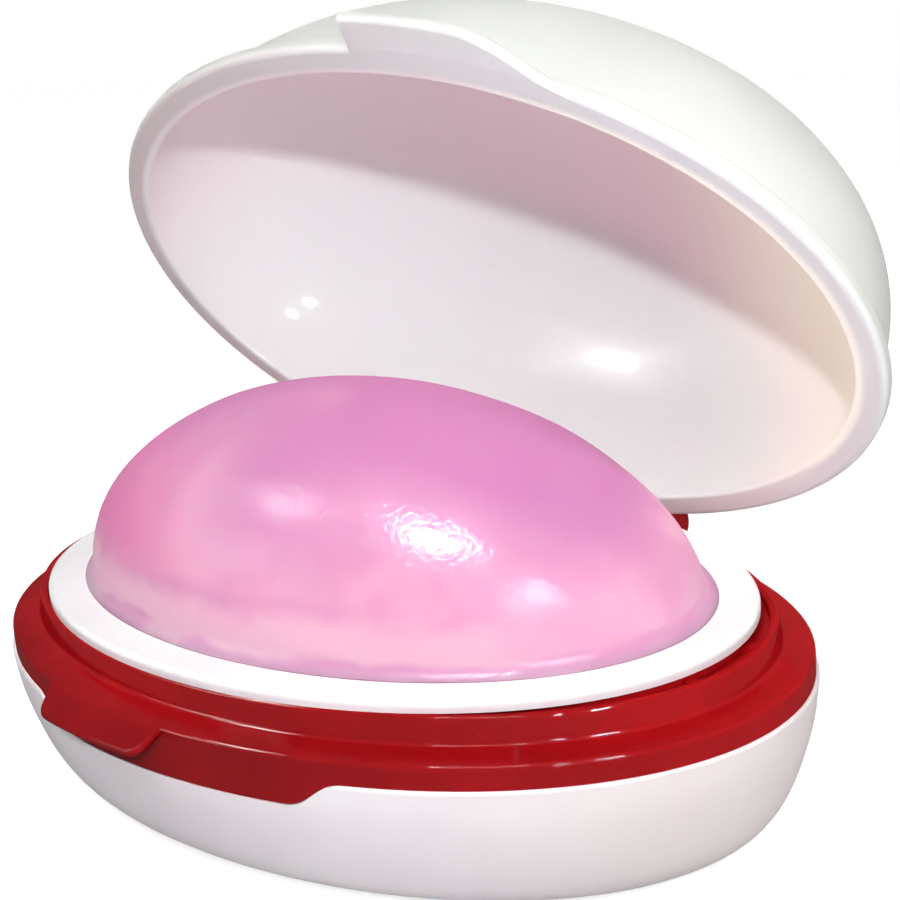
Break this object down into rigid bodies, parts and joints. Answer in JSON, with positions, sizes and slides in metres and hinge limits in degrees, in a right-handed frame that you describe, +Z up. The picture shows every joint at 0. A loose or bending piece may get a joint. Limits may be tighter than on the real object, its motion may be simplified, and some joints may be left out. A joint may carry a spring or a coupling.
{
  "type": "finger moistener",
  "caption": "Oval finger moistener: a pink gel dome in a white cup and a stepped red collar on a white bowl, under a hinged white dome lid.",
  "frame": {"origin": "centre of the bowl's flat bottom, on the table", "axes": "+Z up, +X along the bowl's length and the hinge, -Y to the front where the lid opens"},
  "size_m": [0.0822, 0.0679, 0.0692],
  "materials": {
    "white_shell": "gloss moulded",
    "red_collar": "gloss moulded",
    "white_cup": "gloss moulded",
    "pink_gel": "translucent gel, pebbled",
    "white_lid": "gloss moulded",
    "steel_pin": "drawn wire"
  },
  "bodies": {
    "base": {"base_shell": "white_shell", "collar": "red_collar", "gel_cup": "white_cup", "gel_pad": "pink_gel", "hinge_pin": "steel_pin"},
    "lid": {"lid_shell": "white_lid"}
  },
  "joints": [
    {"name": "lid_hinge", "type": "hinge", "parent": "base", "child": "lid", "pos_m": [0, 0.02738, 0.01962], "axis": [1, 0, 0], "range_deg": [0, 57.7]}
  ]
}
